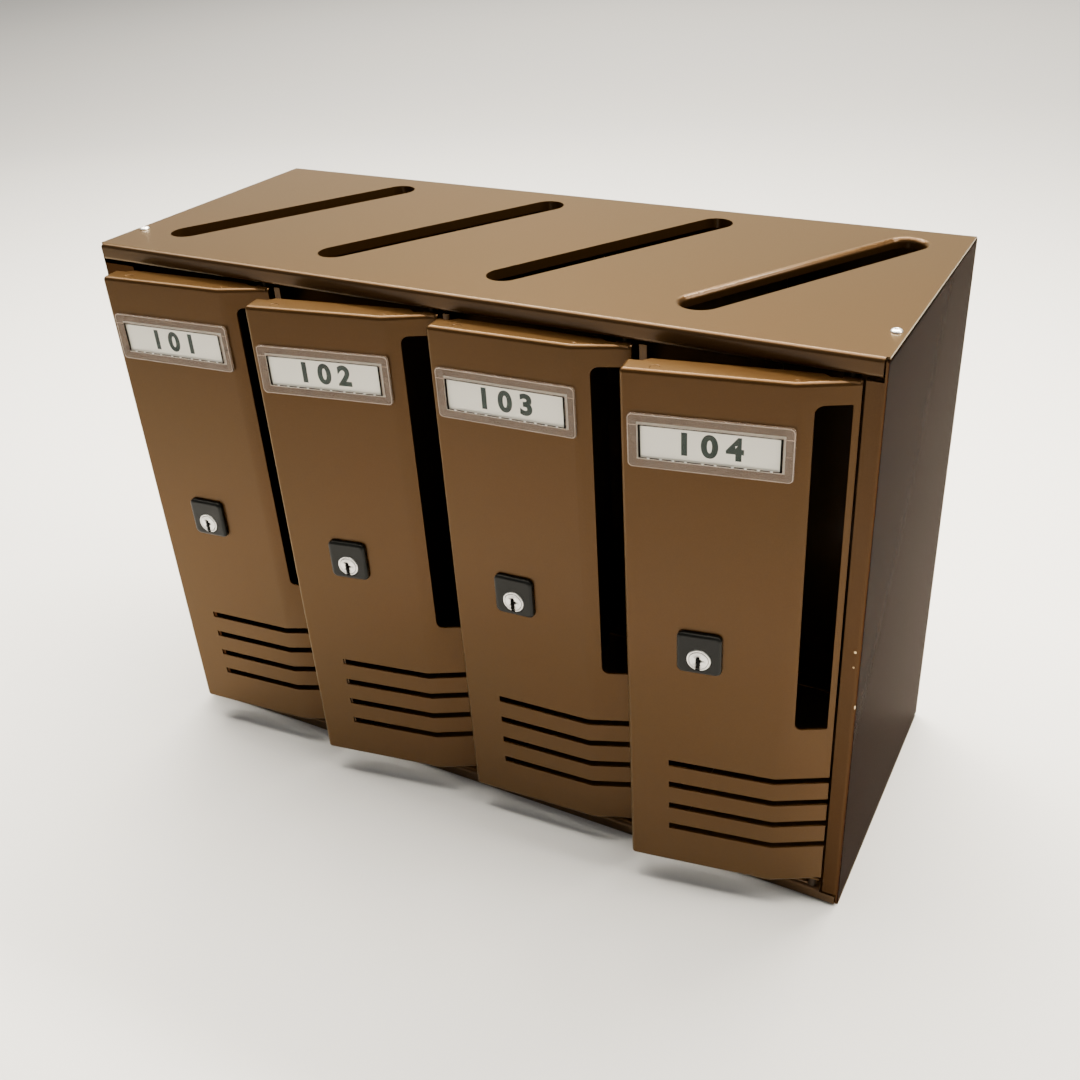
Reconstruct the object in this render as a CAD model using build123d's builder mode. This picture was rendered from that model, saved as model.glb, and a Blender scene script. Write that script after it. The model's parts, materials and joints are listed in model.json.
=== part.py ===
"""Cluster mailbox unit: a folded sheet case with four doors side by side.

Millimetres, +Z up, front towards -Y, origin in the middle of the base.
Every door is hinged at its right edge and stands slightly ajar.
"""
from build123d import *
from math import atan2, degrees, hypot
import os

# ---- driving dimensions -------------------------------------------------------------------
# case
case_width = 500.0
case_depth = 197.5
case_height = 359.0
case_sheet = 1.2
fold_radius = 2.6
lip_height = 10.5
return_depth = 8.0
left_stile_width = 26.0
right_stile_width = 9.6
flange_width = 12.0
lip_end_gap = 2.0
stile_gap = 1.6
lip_end_drop = 2.6

# roof slots, each slanted across its compartment; places are those of the round ends' centres
slot_width = 21.6
slot_near_from_side = 21.4
slot_near_from_front = 39.2
slot_far_from_side = 22.2
slot_far_from_back = 29.7
slot_wall_depth = 6.0
slot_fold_radius = 3.0

# doors
door_count = 4
door_stile_overlap = 6.7
door_gap = 2.5
door_right_gap = 2.0
door_sheet = 1.2
door_fold_radius = 2.4
door_depth = 11.8
door_facet_width = 29.5
door_facet_depth = 2.0
door_top_gap = 1.7
door_bottom_gap = 9.6
door_back_gap = 0.2
tongue_depth = 3.4
tongue_from_left = 9.0
tongue_from_right = 15.0
ajar_angles = (4.96, 9.45, 2.78, 9.38)
full_opening = 70.0

# mail slot and vents in each door
mail_slot_from_right = 3.2
mail_slot_width = 17.3
mail_slot_from_bottom = 117.4
mail_slot_from_top = 11.8
mail_slot_left_radius = 4.5
mail_slot_right_radius = 1.0
vent_left = 24.0
vent_height = 4.5
vent_pitch = 16.6
vent_count = 4
vent_top_from_bottom = 81.9

# hinges
hinge_inset = 5.2
hinge_setback = 3.0
hinge_pin_radius = 1.5
hinge_fit = 0.05
hinge_pin_reach = 2.4
hinge_pin_proud = 1.5
hinge_ear_radius = 4.2
spacer_radius = 2.5
spacer_end_gap = 0.1

# locks
lock_from_left = 41.9
lock_from_bottom = 160.1
lock_cap_width = 25.1
lock_cap_height = 26.2
lock_cap_below_axis = 9.8
lock_cap_thickness = 3.0
lock_cap_corner = 3.6
lock_cap_bevel = 1.6
lock_body_radius = 6.7
lock_body_proud = 0.4
lock_body_length = 16.6
lock_plug_radius = 5.5
lock_fit = 0.05
lock_plug_proud = 0.2
lock_loose_fit = 0.1
keyway_width = 1.5
keyway_depth = 9.0
lock_nut_across_flats = 19.0
lock_nut_thickness = 4.0
drive_square = 5.0
cam_tip_from_edge = 3.4
cam_width = 11.0
cam_thickness = 1.6
cam_gap = 0.6
cam_screw_radius = 1.4
cam_screw_head_radius = 3.6
cam_screw_head_height = 2.0
cam_screw_length = 8.0

# name holders
holder_left = 3.8
holder_from_top = 22.6
holder_past_bend = 1.7
holder_height = 29.9
holder_thickness = 1.7
holder_corner = 2.6
window_side_border = 5.8
window_top_border = 6.1
window_bottom_border = 5.4
window_recess = 0.5
card_border = 1.0
card_thickness = 0.4
card_play = 0.2
peg_radius = 1.6
peg_from_end = 3.4
peg_reach = 1.6
holder_bead_groups = (4, 2, 4)
holder_bead_from_end = 5.2
holder_bead_group_gap = 0.35
holder_bead_radius = 0.7

# dividers
divider_sheet = 1.2
divider_from_door = 0.9
hem_width = 4.8
divider_lip_gap = 1.0
divider_flange = 14.0
divider_flange_setback = 22.0

# fasteners
rivet_from_side = 5.4
rivet_from_front = 34.2
rivet_head_radius = 3.1
rivet_head_height = 1.5
rivet_shank_radius = 1.6
rivet_mandrel_radius = 0.85
rivet_tail_radius = 2.2
rivet_tail_length = 2.6
wall_hole_radius = 3.25
wall_hole_from_side = 50.0
wall_hole_from_end = 49.5

# ---- places worked out from them ----------------------------------------------------------
case_left = -case_width / 2
case_right = case_width / 2
case_front = -case_depth / 2
case_back = case_depth / 2
roof_lip_bottom = case_height - lip_height
door_top = roof_lip_bottom - door_top_gap
door_bottom = lip_height + door_bottom_gap
first_door_left = case_left + left_stile_width - door_stile_overlap
last_door_right = case_right - right_stile_width - door_right_gap
door_pitch = (last_door_right - first_door_left + door_gap) / door_count
door_width = door_pitch - door_gap
door_facet_start = door_width - door_facet_width
door_lefts = [first_door_left + door_pitch * i for i in range(door_count)]
hinge_y = case_front + hinge_setback
hinge_xs = [left + door_width - hinge_inset for left in door_lefts]
face_y = case_front - door_depth
lock_z = door_bottom + lock_from_bottom
mail_slot_bottom = door_bottom + mail_slot_from_bottom
mail_slot_top = door_top - mail_slot_from_top
vent_top = door_bottom + vent_top_from_bottom
holder_width = door_facet_start + holder_past_bend - holder_left
holder_bottom = door_top - holder_from_top - holder_height
window_width = holder_width - 2 * window_side_border
window_height = holder_height - window_top_border - window_bottom_border
card_width = window_width + 2 * card_border
card_height = window_height + 2 * card_border
# beads stand in groups, with a wider gap between one group and the next
bead_steps = [
    bead + group * holder_bead_group_gap
    for group in range(len(holder_bead_groups))
    for bead in range(sum(holder_bead_groups[:group]), sum(holder_bead_groups[:group + 1]))
]
bead_pitch = (window_width - 2 * holder_bead_from_end) / bead_steps[-1]
big = 2 * case_width


def save(name, piece):
    """Label one finished piece and write its STEP file."""
    piece.label = name
    export_step(piece, f"parts/{name}.step")


def swing(piece, door):
    """Turn a piece made on a closed door to where the ajar door stands."""
    hinge_line = Axis((hinge_xs[door], hinge_y, 0), (0, 0, 1))
    return piece.rotate(hinge_line, ajar_angles[door])


def box(x0, x1, y0, y1, z0, z1, mode=Mode.ADD):
    """A box between two corners, for trimming folded sheet."""
    with BuildSketch(Plane.XY.offset(z0)) as section:
        with Locations(((x0 + x1) / 2, (y0 + y1) / 2)):
            Rectangle(x1 - x0, y1 - y0)
    extrude(section.sketch, amount=z1 - z0, mode=mode)


os.makedirs("parts", exist_ok=True)

# ---- side panels --------------------------------------------------------------------------
# A side panel is a tray open towards the middle: skin, front stile, and three narrow flanges.
skin_bottom = case_sheet
skin_top = case_height - case_sheet
stile_top = roof_lip_bottom - stile_gap
stile_bottom = lip_height - lip_end_drop + stile_gap
rear_flange_y = case_back - case_sheet


def side_panel(side, stile_width):
    """Fold one side panel; side is -1 for the left and +1 for the right."""
    outer_x = side * case_width / 2
    widest = max(stile_width, flange_width)
    with BuildPart() as panel:
        with BuildSketch(Plane.XY.offset(skin_bottom)):
            with Locations((outer_x - side * widest / 2, (case_front + rear_flange_y) / 2)):
                Rectangle(widest, rear_flange_y - case_front)
        extrude(amount=skin_top - skin_bottom)
        skin = panel.faces().sort_by(Axis.X)[-1 if side > 0 else 0]
        fillet(skin.edges(), radius=fold_radius)
        open_face = panel.faces().sort_by(Axis.X)[0 if side > 0 else -1]
        offset(amount=-case_sheet, openings=open_face)
        # trim the stile, then the three flanges, to their own widths
        inner_x = outer_x - side * case_sheet
        for width, y0, y1 in (
            (stile_width, case_front - 1, case_front + 2 * fold_radius),
            (flange_width, case_front + 2 * fold_radius, case_back + 1),
        ):
            x0, x1 = sorted((outer_x - side * width, outer_x - side * big))
            box(x0, x1, y0, y1, -1, case_height + 1, mode=Mode.SUBTRACT)
        # the stile stops short of the lips, and the flanges start behind their returns
        x0, x1 = sorted((inner_x, outer_x - side * big))
        flange_start = case_front + return_depth + 2 * case_sheet
        box(x0, x1, case_front - 1, flange_start, stile_top, case_height + 1, mode=Mode.SUBTRACT)
        box(x0, x1, case_front - 1, flange_start, -1, stile_bottom, mode=Mode.SUBTRACT)
        # clearance for the roof rivets in the top flange
        with BuildSketch(Plane.XY.offset(case_height + 1)):
            with Locations((outer_x - side * rivet_from_side, case_front + rivet_from_front)):
                Circle(rivet_shank_radius)
        extrude(amount=-6 * case_sheet, mode=Mode.SUBTRACT)
    return panel


left_side_panel = side_panel(-1, left_stile_width)
save("left_side_panel", left_side_panel.part)
right_side_panel = side_panel(1, right_stile_width)
save("right_side_panel", right_side_panel.part)

# ---- roof and floor -----------------------------------------------------------------------
# Both are one folded sheet: lip and return in front, flat in the middle, short flange behind.
rear_fold_y = case_back - case_sheet
slot_step = Vector(
    door_pitch - slot_near_from_side - slot_far_from_side,
    case_depth - slot_near_from_front - slot_far_from_back,
)
slot_run = hypot(slot_step.X, slot_step.Y)
slot_angle = degrees(atan2(slot_step.Y, slot_step.X))
slot_centres = [
    Vector(left - door_gap + slot_near_from_side, case_front + slot_near_from_front) + slot_step / 2
    for left in door_lefts
]


def folded_sheet(flat_z, towards):
    """Extrude the folded profile; towards is -1 when the folds go down, +1 when they go up."""
    lip_z = flat_z + towards * lip_height
    with BuildSketch(Plane.YZ) as profile:
        with BuildLine():
            FilletPolyline(
                (rear_fold_y, flat_z + towards * flange_width),
                (rear_fold_y, flat_z),
                (case_front, flat_z),
                (case_front, lip_z),
                (case_front + return_depth, lip_z),
                radius=fold_radius,
            )
            offset(amount=case_sheet, side=Side.LEFT if towards < 0 else Side.RIGHT)
        make_face()
    extrude(profile.sketch, amount=case_width / 2, both=True)


def trim_sheet(flat_z, towards):
    """Shorten the lip and the rear flange so that they clear the side panels."""
    z_flat = flat_z + towards * case_sheet
    z_far = flat_z + towards * 3 * flange_width
    z0, z1 = sorted((z_flat, z_far))
    z_edge0, z_edge1 = sorted((flat_z - towards, z_far))
    for side in (-1, 1):
        end = side * (case_width / 2 - lip_end_gap)
        x0, x1 = sorted((end, side * big))
        box(x0, x1, case_front - 1, case_front + fold_radius, z_edge0, z_edge1, mode=Mode.SUBTRACT)
        box(x0, x1, case_front - 1, case_back + 1, z0, z1, mode=Mode.SUBTRACT)
        end = side * (case_width / 2 - flange_width - lip_end_gap)
        x0, x1 = sorted((end, side * big))
        box(x0, x1, case_back - 4 * fold_radius, case_back + 1, z0, z1, mode=Mode.SUBTRACT)


with BuildPart() as roof_panel:
    folded_sheet(case_height, -1)
    trim_sheet(case_height, -1)
    # collars, then the openings through them
    for clear_width, mode in ((slot_width + 2 * case_sheet, Mode.ADD), (slot_width, Mode.SUBTRACT)):
        with BuildSketch(Plane.XY.offset(case_height)):
            for centre in slot_centres:
                with Locations(Location((centre.X, centre.Y), slot_angle)):
                    SlotCenterToCenter(slot_run, clear_width)
        extrude(amount=-slot_wall_depth, mode=mode)
    under = roof_panel.edges().filter_by_position(
        Axis.Z, case_height - case_sheet - 0.01, case_height - case_sheet + 0.01
    )
    collar_half = slot_width / 2 + case_sheet
    inside = (case_front + 2 * fold_radius, case_back - 4 * fold_radius)
    under_loops = under.filter_by_position(Axis.Y, inside[0], inside[1])
    under_loops = under_loops.filter_by(lambda e: abs(e.center().X) < case_width / 2 - flange_width)
    fillet(under_loops, radius=slot_fold_radius - case_sheet)
    top = roof_panel.faces().filter_by(Axis.Z).sort_by(Axis.Z)[-1]
    fillet(top.inner_wires().edges(), radius=slot_fold_radius)
    with BuildSketch(Plane.XY.offset(case_height)):
        for side in (-1, 1):
            with Locations((side * (case_width / 2 - rivet_from_side), case_front + rivet_from_front)):
                Circle(rivet_shank_radius)
    extrude(amount=-2 * case_sheet, mode=Mode.SUBTRACT)
    with BuildSketch(Plane.XY.offset(roof_lip_bottom)):
        with Locations(*[(x, hinge_y) for x in hinge_xs]):
            Circle(hinge_pin_radius)
    extrude(amount=case_sheet + hinge_pin_proud, mode=Mode.SUBTRACT)
save("roof_panel", roof_panel.part)

with BuildPart() as floor_panel:
    folded_sheet(0, 1)
    trim_sheet(0, 1)
    # the lip is lower, and has no return, where a stile comes down in front of it
    low_lip = lip_height - lip_end_drop
    left_cut = case_left + left_stile_width + lip_end_gap
    right_cut = case_right - right_stile_width - lip_end_gap
    for x0, x1 in ((case_left - 1, left_cut), (right_cut, case_right + 1)):
        box(x0, x1, case_front - 1, case_front + 2 * return_depth, low_lip, lip_height + 1,
            mode=Mode.SUBTRACT)
    with BuildSketch(Plane.XY.offset(lip_height)):
        with Locations(*[(x, hinge_y) for x in hinge_xs]):
            Circle(hinge_pin_radius)
    extrude(amount=-(case_sheet + hinge_pin_proud), mode=Mode.SUBTRACT)
save("floor_panel", floor_panel.part)

# ---- back panel ---------------------------------------------------------------------------
wall_hole_z = case_height / 2
wall_hole_spacing_x = case_width - 2 * wall_hole_from_side
wall_hole_spacing_z = case_height - 2 * wall_hole_from_end
with BuildPart() as back_panel:
    with BuildSketch(Plane.XZ.offset(-case_back)):
        with Locations((0, case_height / 2)):
            RectangleRounded(case_width, case_height - 2 * case_sheet, case_sheet)
        with Locations((0, wall_hole_z)):
            with GridLocations(wall_hole_spacing_x, wall_hole_spacing_z, 2, 2):
                Circle(wall_hole_radius, mode=Mode.SUBTRACT)
    extrude(amount=case_sheet)
save("back_panel", back_panel.part)

# ---- dividers -----------------------------------------------------------------------------
# A flat sheet with a hem across the front, a flange on the floor and a flange at the back.
divider_top = roof_lip_bottom - divider_lip_gap
divider_bottom = lip_height + divider_lip_gap
divider_back = rear_fold_y - case_sheet - divider_lip_gap
for index in range(1, door_count):
    sheet_left = door_lefts[index] + divider_from_door
    sheet_right = sheet_left + divider_sheet
    tall_start = case_front + return_depth + divider_lip_gap
    with BuildPart() as divider:
        box(sheet_left, sheet_right, case_front, divider_back, divider_bottom, divider_top)
        box(sheet_left, sheet_right, tall_start, divider_back - flange_width,
            case_sheet, case_height - case_sheet - divider_lip_gap)
        box(sheet_left, sheet_left + hem_width, case_front, case_front + divider_sheet,
            divider_bottom, divider_top)
        box(sheet_left, sheet_left + divider_flange, divider_back - divider_sheet, divider_back,
            divider_bottom + flange_width, divider_top - flange_width)
        box(sheet_left, sheet_left + divider_flange, case_front + divider_flange_setback,
            divider_back - divider_flange_setback, case_sheet, case_sheet + divider_sheet)
        hem_fold = divider.edges().filter_by(Axis.Z).group_by(Axis.Y)[0].sort_by(Axis.X)[0]
        fillet(hem_fold, radius=divider_sheet * 0.8)
    save(f"divider_{index}", divider.part)

# ---- fasteners of the case ----------------------------------------------------------------
with BuildPart() as roof_rivets:
    for side in (-1, 1):
        x = side * (case_width / 2 - rivet_from_side)
        y = case_front + rivet_from_front
        sheets = case_height - 2 * case_sheet
        with BuildSketch(Plane((x, y, 0), x_dir=(1, 0, 0), z_dir=(0, -1, 0))):
            with BuildLine():
                ThreePointArc(
                    (rivet_mandrel_radius, case_height + rivet_head_height),
                    (rivet_head_radius * 0.72, case_height + rivet_head_height * 0.72),
                    (rivet_head_radius, case_height),
                )
                Polyline(
                    (rivet_head_radius, case_height),
                    (rivet_shank_radius, case_height),
                    (rivet_shank_radius, sheets),
                    (rivet_tail_radius, sheets),
                    (rivet_tail_radius, sheets - rivet_tail_length),
                    (rivet_mandrel_radius, sheets - rivet_tail_length),
                    (rivet_mandrel_radius, case_height + rivet_head_height),
                )
            make_face()
        revolve(axis=Axis((x, y, 0), (0, 0, 1)))
save("roof_rivets", roof_rivets.part)

# Each hinge pin is pressed into the return of a lip and reaches into the ear of a door.
def hinge_pins(tip, end):
    """Four pins on the hinge lines, between two heights."""
    with BuildPart() as pins:
        with BuildSketch(Plane.XY.offset(tip)):
            with Locations(*[(x, hinge_y) for x in hinge_xs]):
                Circle(hinge_pin_radius)
        extrude(amount=end - tip)
    return pins


upper_pin_tip = door_top - door_sheet - hinge_pin_reach
upper_pin_end = roof_lip_bottom + case_sheet + hinge_pin_proud
upper_hinge_pins = hinge_pins(upper_pin_tip, upper_pin_end)
save("upper_hinge_pins", upper_hinge_pins.part)

lower_pin_tip = lip_height - case_sheet - hinge_pin_proud
lower_pin_end = door_bottom + door_sheet + hinge_pin_reach
lower_hinge_pins = hinge_pins(lower_pin_tip, lower_pin_end)
save("lower_hinge_pins", lower_hinge_pins.part)

with BuildPart() as hinge_spacers:
    for x in hinge_xs:
        with BuildSketch(Plane((x, hinge_y, lip_height))):
            Circle(spacer_radius)
            Circle(hinge_pin_radius + hinge_fit, mode=Mode.SUBTRACT)
        extrude(amount=door_bottom - lip_height - spacer_end_gap)
save("hinge_spacers", hinge_spacers.part)


# ---- one door -----------------------------------------------------------------------------
def tray(left):
    """The folded door tray: face, slanted facet, and flanges on three sides."""
    right = left + door_width
    back = case_front - door_back_gap
    with BuildPart() as panel:
        with BuildSketch(Plane.XY.offset(door_bottom)):
            with BuildLine():
                Polyline(
                    (left, back),
                    (left, face_y),
                    (left + door_facet_start, face_y),
                    (right, case_front - door_facet_depth),
                    (right, back),
                    close=True,
                )
            make_face()
        extrude(amount=door_top - door_bottom)
        back_face = panel.faces().sort_by(Axis.Y)[-1]
        right_face = panel.faces().sort_by(Axis.X)[-1]
        front = panel.faces().sort_by(Axis.Y)[0]
        bend = front.edges().filter_by(Axis.Z).sort_by(Axis.X)[-1]
        hinge_edges = right_face.edges()
        folds = [
            e for e in panel.edges()
            if e not in back_face.edges() and e not in hinge_edges and e != bend
        ]
        fillet(folds, radius=door_fold_radius)
        back_face = panel.faces().sort_by(Axis.Y)[-1]
        right_face = panel.faces().sort_by(Axis.X)[-1]
        offset(amount=-door_sheet, openings=[back_face, right_face])
    return panel


for index in range(door_count):
    number = index + 1
    left = door_lefts[index]
    right = left + door_width
    hinge_x = hinge_xs[index]
    lock_x = left + lock_from_left
    blank = tray(left)
    ear_front = case_front - door_facet_depth - door_sheet
    face_plane = Plane.XZ.offset(-face_y)
    holder_x = left + holder_left + holder_width / 2
    holder_z = holder_bottom + holder_height / 2
    pegs = [
        (left + holder_left + peg_from_end, holder_z),
        (left + holder_left + holder_width - peg_from_end, holder_z),
    ]
    slot_x = right - mail_slot_from_right - mail_slot_width / 2

    with BuildPart() as door_panel:
        add(blank.part)
        # the top and bottom flanges reach a little way into the case, clear of its uprights
        tongue_left = left + tongue_from_left
        tongue_right = right - tongue_from_right
        tongue_front = case_front - door_back_gap - door_sheet
        tongue_back = case_front - door_back_gap + tongue_depth
        for z in (door_bottom, door_top - door_sheet):
            with BuildSketch(Plane.XY.offset(z)):
                with BuildLine():
                    Polyline(
                        (tongue_left, tongue_front),
                        (tongue_right, tongue_front),
                        (tongue_right, tongue_back - tongue_depth),
                        (tongue_right - tongue_depth, tongue_back),
                        (tongue_left + tongue_depth, tongue_back),
                        (tongue_left, tongue_back - tongue_depth),
                        close=True,
                    )
                make_face()
            extrude(amount=door_sheet)
        # hinge ears, level with the top and bottom flanges
        for z in (door_bottom, door_top - door_sheet):
            with BuildSketch(Plane.XY.offset(z)):
                with Locations((hinge_x, hinge_y)):
                    Circle(hinge_ear_radius)
                with Locations((hinge_x, (hinge_y + ear_front) / 2)):
                    Rectangle(2 * hinge_ear_radius, hinge_y - ear_front)
            extrude(amount=door_sheet)
        with BuildSketch(Plane.XY.offset(door_bottom - 1)):
            with Locations((hinge_x, hinge_y)):
                Circle(hinge_pin_radius + hinge_fit)
        extrude(amount=door_top - door_bottom + 2, mode=Mode.SUBTRACT)
        # mail slot: round corners on the left, nearly square ones on the right
        with BuildSketch(face_plane) as mail_slot:
            with Locations((slot_x, (mail_slot_bottom + mail_slot_top) / 2)):
                Rectangle(mail_slot_width, mail_slot_top - mail_slot_bottom)
            corners = mail_slot.vertices().group_by(Axis.X)
            fillet(corners[0], radius=mail_slot_left_radius)
            fillet(mail_slot.vertices().group_by(Axis.X)[-1], radius=mail_slot_right_radius)
        extrude(amount=-door_depth, mode=Mode.SUBTRACT)
        # vents run out through the right edge
        with BuildSketch(face_plane):
            for row in range(vent_count):
                z = vent_top - vent_height / 2 - row * vent_pitch
                with Locations(((left + vent_left + right + 1) / 2, z)):
                    Rectangle(right + 1 - left - vent_left, vent_height)
        extrude(amount=-door_depth, mode=Mode.SUBTRACT)
        # holes for the lock and for the pegs of the name holder
        with BuildSketch(face_plane):
            with Locations((lock_x, lock_z)):
                Circle(lock_body_radius + lock_loose_fit)
            with Locations(*pegs):
                Circle(peg_radius + lock_loose_fit)
        extrude(amount=-2 * door_sheet, mode=Mode.SUBTRACT)
    save(f"door_{number}_panel", swing(door_panel.part, index))

    # clear holder with a pocket behind for the card and a row of beads under the window
    window_z = holder_bottom + window_bottom_border + window_height / 2
    front_y = face_y - holder_thickness
    with BuildPart() as name_holder:
        with BuildSketch(Plane.XZ.offset(-face_y)):
            with Locations((holder_x, holder_z)):
                RectangleRounded(holder_width, holder_height, holder_corner)
        extrude(amount=holder_thickness)
        rim = name_holder.faces().sort_by(Axis.Y)[0]
        fillet(rim.edges(), radius=holder_thickness / 3)
        with BuildSketch(Plane.XZ.offset(-front_y)):
            with Locations((holder_x, window_z)):
                Rectangle(window_width, window_height)
        extrude(amount=-window_recess, mode=Mode.SUBTRACT)
        with BuildSketch(Plane.XZ.offset(-face_y)):
            with Locations((holder_x, window_z)):
                Rectangle(card_width + 2 * card_play, card_height + 2 * card_play)
        extrude(amount=card_thickness + card_play / 2, mode=Mode.SUBTRACT)
        with BuildSketch(Plane.XZ.offset(-(front_y + window_recess))):
            bead_z = window_z - window_height / 2 + holder_bead_radius / 2
            first_bead_x = holder_x - bead_pitch * bead_steps[-1] / 2
            with Locations(*[(first_bead_x + bead_pitch * step, bead_z) for step in bead_steps]):
                Circle(holder_bead_radius)
        extrude(amount=window_recess)
        with BuildSketch(Plane.XZ.offset(-face_y)):
            with Locations(*pegs):
                Circle(peg_radius)
        extrude(amount=-(door_sheet + peg_reach))
    save(f"door_{number}_name_holder", swing(name_holder.part, index))

    with BuildPart() as name_card:
        with BuildSketch(Plane.XZ.offset(-face_y)):
            with Locations((holder_x, window_z)):
                Rectangle(card_width, card_height)
        extrude(amount=card_thickness)
    save(f"door_{number}_name_card", swing(name_card.part, index))

    # the cap is a black moulded cover round the front of the lock
    cap_z = lock_z - lock_cap_below_axis + lock_cap_height / 2
    with BuildPart() as lock_cap:
        with BuildSketch(Plane.XZ.offset(-face_y)):
            with Locations((lock_x, cap_z)):
                RectangleRounded(lock_cap_width, lock_cap_height, lock_cap_corner)
        extrude(amount=lock_cap_thickness)
        rim = lock_cap.faces().sort_by(Axis.Y)[0]
        fillet(rim.edges(), radius=lock_cap_bevel)
        with BuildSketch(Plane.XZ.offset(-face_y)):
            with Locations((lock_x, lock_z)):
                Circle(lock_body_radius + lock_loose_fit)
        extrude(amount=lock_cap_thickness + 1, mode=Mode.SUBTRACT)
    save(f"door_{number}_lock_cap", swing(lock_cap.part, index))

    body_front = face_y - lock_cap_thickness - lock_body_proud
    body_back = body_front + lock_body_length
    with BuildPart() as lock_body:
        with BuildSketch(Plane.XZ.offset(-body_front)):
            with Locations((lock_x, lock_z)):
                Circle(lock_body_radius)
        extrude(amount=-lock_body_length)
        front_edge = lock_body.edges().filter_by(GeomType.CIRCLE).sort_by(Axis.Y)[0]
        chamfer(front_edge, length=0.4)
        with BuildSketch(Plane.XZ.offset(-body_front)):
            with Locations((lock_x, lock_z)):
                Circle(lock_plug_radius + lock_fit)
        extrude(amount=-lock_body_length, mode=Mode.SUBTRACT)
    save(f"door_{number}_lock_body", swing(lock_body.part, index))

    nut_front = face_y + door_sheet
    with BuildPart() as lock_nut:
        with BuildSketch(Plane.XZ.offset(-nut_front)):
            with Locations((lock_x, lock_z)):
                RegularPolygon(lock_nut_across_flats / 2, 6, major_radius=False)
                Circle(lock_body_radius + lock_loose_fit / 2, mode=Mode.SUBTRACT)
        extrude(amount=-lock_nut_thickness)
    save(f"door_{number}_lock_nut", swing(lock_nut.part, index))

    # the plug turns in the body and drives the cam through a square
    plug_front = body_front - lock_plug_proud
    plug_back = body_back + cam_gap
    cam_back = plug_back + cam_thickness
    with BuildPart() as lock_plug:
        with BuildSketch(Plane.XZ.offset(-plug_front)):
            with Locations((lock_x, lock_z)):
                Circle(lock_plug_radius)
        extrude(amount=-(plug_back - plug_front))
        with BuildSketch(Plane.XZ.offset(-plug_back)):
            with Locations((lock_x, lock_z)):
                Rectangle(drive_square, drive_square)
        extrude(amount=-cam_thickness)
        with BuildSketch(Plane.XZ.offset(-plug_front)):
            with Locations((lock_x, lock_z - lock_plug_radius / 2)):
                Rectangle(keyway_width, lock_plug_radius + keyway_width)
        extrude(amount=-keyway_depth, mode=Mode.SUBTRACT)
        with BuildSketch(Plane.XZ.offset(-cam_back)):
            with Locations((lock_x, lock_z)):
                Circle(cam_screw_radius)
        extrude(amount=cam_screw_length, mode=Mode.SUBTRACT)
    save(f"door_{number}_lock_plug", swing(lock_plug.part, index))

    cam_reach = lock_from_left - cam_tip_from_edge
    with BuildPart() as lock_cam:
        with BuildSketch(Plane.XZ.offset(-plug_back)):
            with Locations((lock_x, lock_z - (cam_reach - cam_width / 2) / 2)):
                SlotCenterToCenter(cam_reach - cam_width / 2, cam_width, rotation=90)
            with Locations((lock_x, lock_z)):
                Rectangle(drive_square, drive_square, mode=Mode.SUBTRACT)
        extrude(amount=-cam_thickness)
    save(f"door_{number}_lock_cam", swing(lock_cam.part, index))

    with BuildPart() as cam_screw:
        with BuildSketch(Plane.XZ.offset(-cam_back)):
            with Locations((lock_x, lock_z)):
                Circle(cam_screw_radius)
        extrude(amount=cam_screw_length)
        with BuildSketch(Plane.XZ.offset(-cam_back)):
            with Locations((lock_x, lock_z)):
                Circle(cam_screw_head_radius)
        extrude(amount=-cam_screw_head_height)
        head = cam_screw.edges().filter_by(GeomType.CIRCLE).sort_by(Axis.Y)[-1]
        fillet(head, radius=0.6)
    save(f"door_{number}_cam_screw", swing(cam_screw.part, index))
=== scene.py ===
"""Looks for a four-door cluster mailbox: bronze sheet metal, clear name holders and cam locks."""

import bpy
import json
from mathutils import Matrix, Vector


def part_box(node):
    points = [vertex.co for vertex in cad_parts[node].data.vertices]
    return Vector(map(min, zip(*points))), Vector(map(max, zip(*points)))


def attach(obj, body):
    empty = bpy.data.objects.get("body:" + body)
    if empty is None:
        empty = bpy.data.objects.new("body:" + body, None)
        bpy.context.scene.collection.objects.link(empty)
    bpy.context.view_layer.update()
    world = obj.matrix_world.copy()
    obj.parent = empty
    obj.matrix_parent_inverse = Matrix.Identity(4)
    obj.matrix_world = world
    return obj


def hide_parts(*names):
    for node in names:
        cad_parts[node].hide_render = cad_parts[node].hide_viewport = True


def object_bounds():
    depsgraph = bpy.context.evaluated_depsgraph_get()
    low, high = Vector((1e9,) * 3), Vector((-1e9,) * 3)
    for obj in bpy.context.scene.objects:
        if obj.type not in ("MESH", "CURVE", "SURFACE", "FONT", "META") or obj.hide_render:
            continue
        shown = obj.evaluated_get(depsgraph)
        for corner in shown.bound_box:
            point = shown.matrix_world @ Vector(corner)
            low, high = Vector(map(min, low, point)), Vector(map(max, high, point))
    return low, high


bl_info = {
    "name": "Cluster Mailbox Looks",
    "version": (1, 0, 0),
    "blender": (4, 5, 0),
    "location": "3D View > Sidebar > Mailbox",
    "description": "Finishes a packed cluster mailbox: sheet metal, holders, locks and a studio",
    "category": "Object",
}

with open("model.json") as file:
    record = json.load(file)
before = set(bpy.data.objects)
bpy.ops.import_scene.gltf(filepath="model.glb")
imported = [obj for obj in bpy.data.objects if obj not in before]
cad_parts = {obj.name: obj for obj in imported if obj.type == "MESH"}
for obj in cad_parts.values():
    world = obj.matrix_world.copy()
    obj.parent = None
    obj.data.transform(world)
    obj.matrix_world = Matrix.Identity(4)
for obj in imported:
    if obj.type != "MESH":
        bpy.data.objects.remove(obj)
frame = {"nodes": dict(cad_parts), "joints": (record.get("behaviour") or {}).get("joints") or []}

import json
from math import cos, pi, radians, sin, tau

import bmesh
import bpy
from bpy.props import FloatProperty, FloatVectorProperty, IntProperty, PointerProperty
from mathutils import Matrix, Vector

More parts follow.
